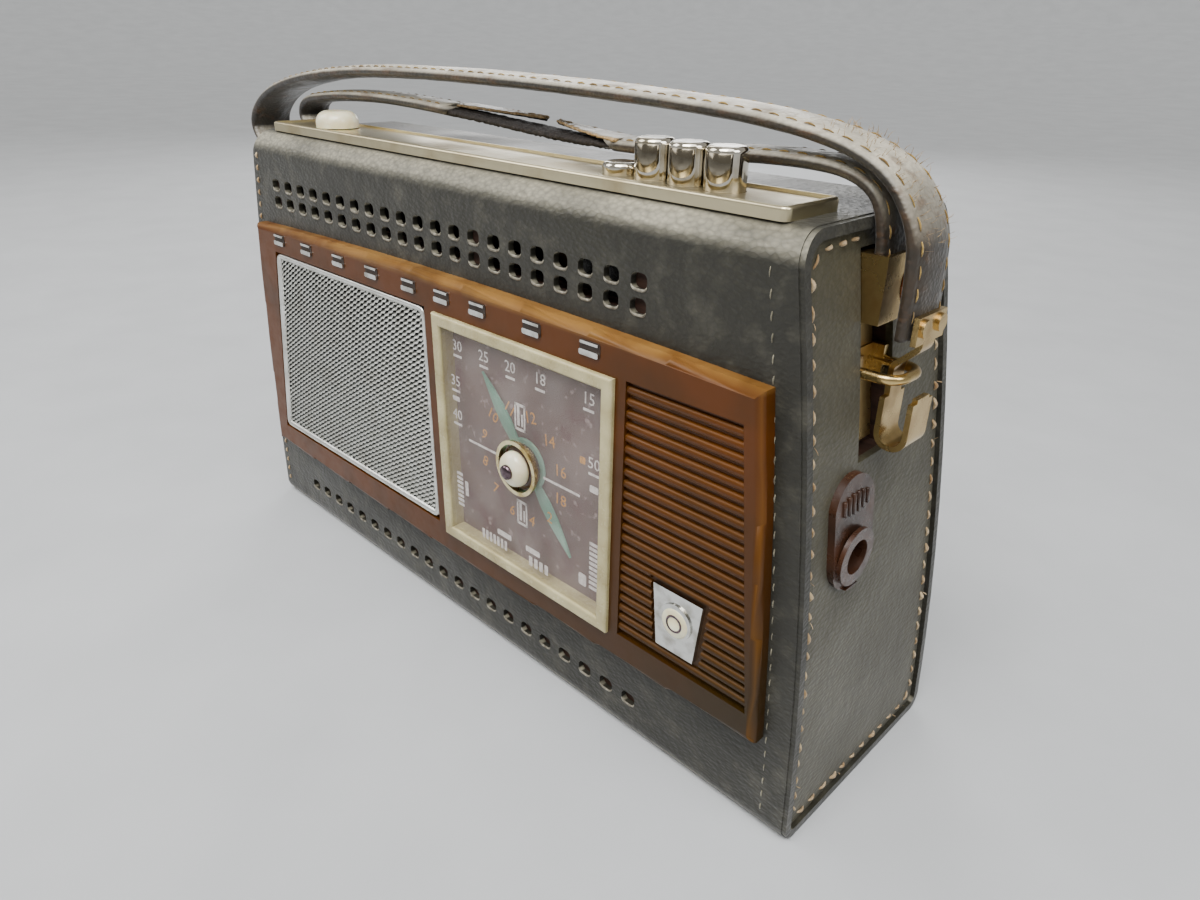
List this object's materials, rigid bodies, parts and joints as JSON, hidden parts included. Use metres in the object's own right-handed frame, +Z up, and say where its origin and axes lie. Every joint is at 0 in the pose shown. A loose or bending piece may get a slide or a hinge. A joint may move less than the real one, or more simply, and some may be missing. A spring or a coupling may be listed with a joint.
{
  "type": "leather portable radio",
  "caption": "Leather-covered portable radio with a round-pointer dial, metal speaker grille, push buttons on top and a hooked carrying strap.",
  "frame": {"origin": "centre of the base of the case, on the surface it stands on", "axes": "+X towards the end on the right as the dial is faced, -Y out of the dial, +Z up"},
  "size_m": [0.3205, 0.0931, 0.1896],
  "materials": {
    "case_leather": "fine-grained dark olive leather",
    "end_leather": "lighter olive-brown leather",
    "plywood": "raw birch plywood",
    "amber_plastic": "bronze-brown moulded plastic",
    "chrome_trim": "polished",
    "bright_aluminium": "bright expanded metal",
    "dark_cloth": "woven acoustic cloth",
    "cream_plastic": "moulded cream plastic",
    "clear_plastic": "clear acrylic",
    "dial_print": "printed scale",
    "gilt_metal": "gilt",
    "teal_plastic": "translucent teal",
    "ivory_plastic": "ivory",
    "steel": "plated",
    "aluminium_vanes": "plain",
    "brass": "aged",
    "champagne_aluminium": "champagne anodised",
    "black_plastic": "moulded",
    "metallised_cap": "metallised clear plastic",
    "speaker_paper": "pressed paper",
    "ferrite": "sintered ferrite",
    "phenolic_board": "phenolic laminate",
    "laminated_steel": "laminations and tape",
    "blue_plastic": "sleeved can",
    "brown_ceramic": "lacquered",
    "copper_wire": "enamelled winding",
    "card_cell": "card-jacketed cell",
    "brown_plastic": "moulded brown plastic",
    "strap_leather": "worn strap leather"
  },
  "bodies": {
    "case": {"aerial_coils": "copper_wire", "aerial_escutcheon": "brown_plastic", "aerial_socket": "brown_plastic", "anchor_rails": "brass", "badge": "chrome_trim", "baffle_board": "plywood", "battery_cells": "card_cell", "battery_contacts": "brass", "battery_tray": "black_plastic", "board_posts": "brass", "capacitor_frame": "steel", "capacitor_stator": "aluminium_vanes", "carry_handle": "strap_leather", "case_carcass": "plywood", "circuit_board": "phenolic_board", "control_plate": "champagne_aluminium", "dial_frame": "cream_plastic", "dial_lens": "clear_plastic", "dial_scale": "dial_print", "drive_collar": "brass", "electrolytics": "blue_plastic", "end_leather_left": "end_leather", "end_leather_right": "end_leather", "end_piping": "case_leather", "fascia_panel": "amber_plastic", "ferrite_rod": "ferrite", "grille_cloth": "dark_cloth", "handle_clamps": "brass", "hinge_leaves_fixed": "brass", "if_cans": "aluminium_vanes", "knob_bezel": "gilt_metal", "leather_wrap": "case_leather", "resistors": "brown_ceramic", "rod_clips": "black_plastic", "speaker_basket": "steel", "speaker_cone": "speaker_paper", "speaker_grille": "bright_aluminium", "speaker_magnet": "ferrite", "switch_bank": "black_plastic", "transformers": "laminated_steel", "transistors": "black_plastic", "trim_bars": "chrome_trim", "volume_pot": "steel"},
    "tuning_knob": {"tuning_knob": "ivory_plastic", "tuning_spindle": "steel"},
    "tuning_gang": {"dial_pointer": "teal_plastic", "capacitor_rotor": "aluminium_vanes"},
    "volume_control": {"volume_knob": "ivory_plastic", "volume_shaft": "aluminium_vanes"},
    "band_button_1": {"band_button_1": "metallised_cap"},
    "band_button_2": {"band_button_2": "metallised_cap"},
    "band_button_3": {"band_button_3": "metallised_cap"},
    "band_button_4": {"band_button_4": "metallised_cap"},
    "rear_cover": {"cover_leather": "case_leather", "cover_board": "plywood", "hinge_leaves_cover": "brass"},
    "cover_lock_left": {"cover_lock_left": "brass"},
    "cover_lock_right": {"cover_lock_right": "brass"},
    "long_strap": {"long_strap": "strap_leather", "strap_hooks": "brass"}
  },
  "joints": [
    {"name": "pointer_turn", "type": "hinge", "parent": "case", "child": "tuning_gang", "pos_m": [0.0378, 0, 0.0806], "axis": [0, 1, 0], "range_deg": [-50, 130]},
    {"name": "tuning_knob_turn", "type": "hinge", "parent": "case", "child": "tuning_knob", "pos_m": [0.0378, 0, 0.0806], "axis": [0, 1, 0], "range_deg": [-200, 520]},
    {"name": "volume_turn", "type": "hinge", "parent": "case", "child": "volume_control", "pos_m": [-0.0867, -0.0233, 0.165], "axis": [0, 0, -1], "range_deg": [0, 270]},
    {"name": "band_button_1_press", "type": "slide", "parent": "case", "child": "band_button_1", "axis": [0, 0, 1], "range_m": [0, 0.007]},
    {"name": "band_button_2_press", "type": "slide", "parent": "case", "child": "band_button_2", "axis": [0, 0, 1], "range_m": [-0.007, 0]},
    {"name": "band_button_3_press", "type": "slide", "parent": "case", "child": "band_button_3", "axis": [0, 0, 1], "range_m": [-0.007, 0]},
    {"name": "band_button_4_press", "type": "slide", "parent": "case", "child": "band_button_4", "axis": [0, 0, 1], "range_m": [-0.007, 0]},
    {"name": "cover_hinge", "type": "hinge", "parent": "case", "child": "rear_cover", "pos_m": [0, 0.04146, 0.012], "axis": [-1, 0, 0], "range_deg": [0, 95]},
    {"name": "cover_lock_left_turn", "type": "hinge", "parent": "rear_cover", "child": "cover_lock_left", "pos_m": [-0.06, 0.03024, 0.14], "axis": [0, 0.9976, 0.0695], "range_deg": [0, 90]},
    {"name": "cover_lock_right_turn", "type": "hinge", "parent": "rear_cover", "child": "cover_lock_right", "pos_m": [0.06, 0.03024, 0.14], "axis": [0, 0.9976, 0.0695], "range_deg": [0, 90]},
    {"name": "strap_swing", "type": "hinge", "parent": "case", "child": "long_strap", "pos_m": [0, -0.006, 0.1285], "axis": [-1, 0, 0], "range_deg": [-3, 18]}
  ],
  "couplings": [
    {"joint": "tuning_knob_turn", "follows": "pointer_turn", "ratio": 4}
  ]
}
